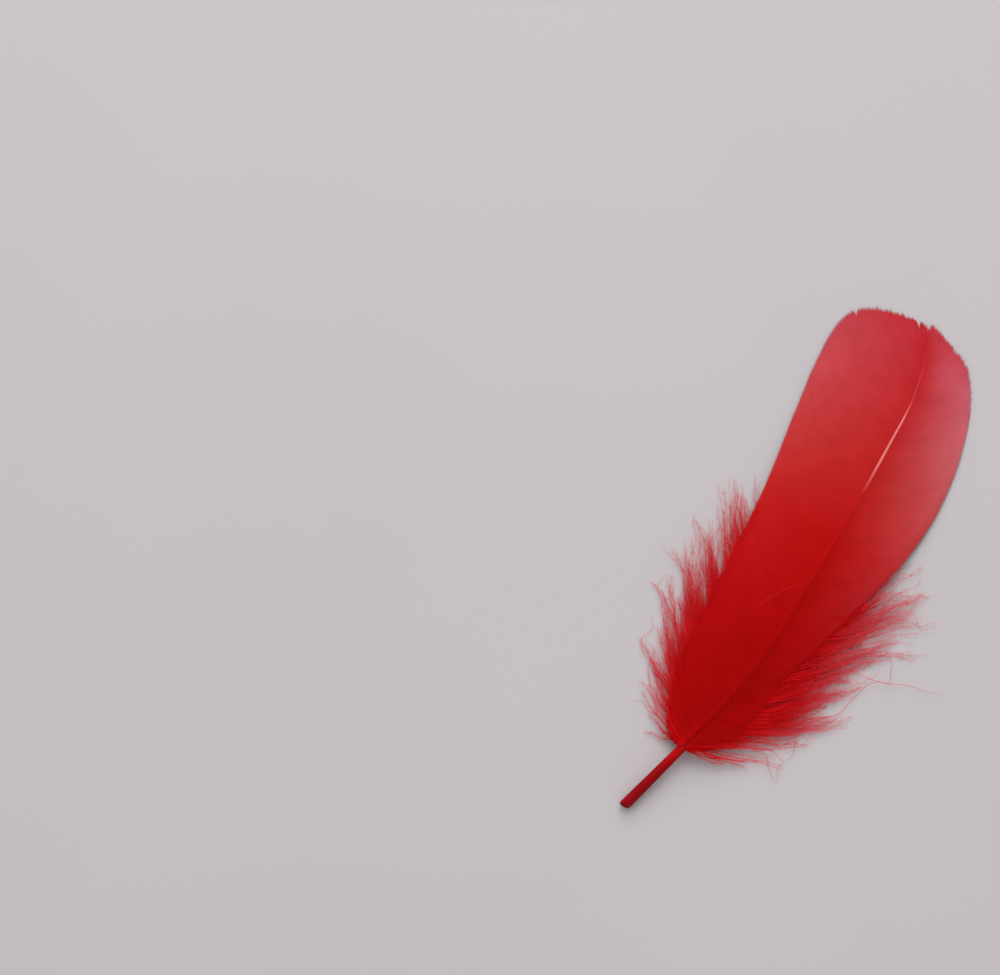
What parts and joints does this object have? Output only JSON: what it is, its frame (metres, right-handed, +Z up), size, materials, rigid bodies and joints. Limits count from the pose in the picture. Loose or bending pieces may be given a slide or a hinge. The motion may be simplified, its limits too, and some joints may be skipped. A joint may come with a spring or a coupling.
{
  "type": "goose feather",
  "caption": "Dyed goose feather lying flat, with a bare cut quill, a long tapering shaft, two curved vanes and loose downy barbs at the base.",
  "frame": {"origin": "middle of the feather's footprint, on the surface it lies on", "axes": "+Y runs along the feather from the cut quill to the tip, +Z is up out of its outer side, +X is to the right of the shaft seen from above with the tip away from the viewer"},
  "size_m": [0.0766, 0.1492, 0.0092],
  "materials": {
    "shaft_horn": "dyed horn: smooth, hard and slightly see-through, with a soft gloss",
    "vane_barbs": "dyed barbs hooked together in a smooth sheet with a faint silky sheen, paler towards the edges",
    "down_barbs": "dyed loose down, matt and deeply coloured, with hair-fine ends"
  },
  "bodies": {
    "root": {"shaft": "shaft_horn", "left_vane": "vane_barbs", "right_vane": "vane_barbs", "left_down": "down_barbs", "right_down": "down_barbs"}
  },
  "joints": []
}
